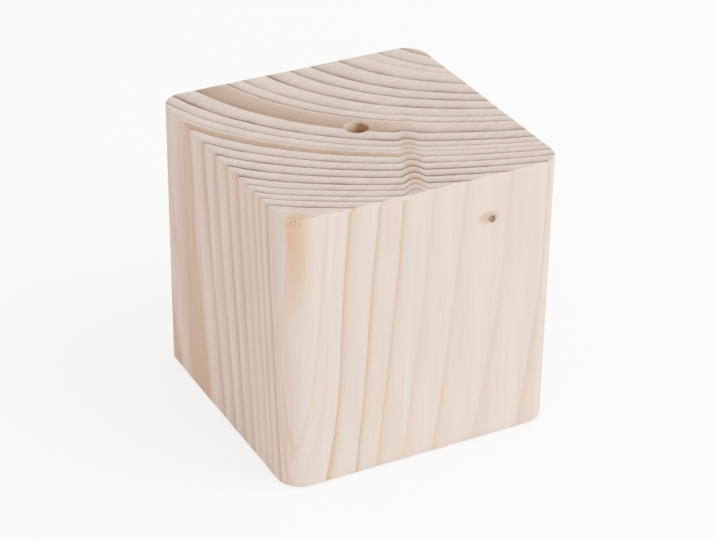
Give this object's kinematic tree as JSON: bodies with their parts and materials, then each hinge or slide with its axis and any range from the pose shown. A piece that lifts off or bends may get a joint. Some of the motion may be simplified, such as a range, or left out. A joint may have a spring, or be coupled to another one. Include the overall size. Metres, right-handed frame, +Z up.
{
  "type": "wooden cube",
  "caption": "Wooden cube cut from planed square timber, with rounded long edges and a blind hole drilled in the upper end to hold a stem, dowel or wire.",
  "frame": {"origin": "middle of the lower end face, on which the cube stands", "axes": "+Z up along the grain and out of the drilled hole; X and Y square to the planed sides"},
  "size_m": [0.07, 0.07, 0.07],
  "materials": {
    "spruce": "planed sides and sawn, sanded ends, unfinished"
  },
  "bodies": {
    "root": {"cube": "spruce"}
  },
  "joints": []
}
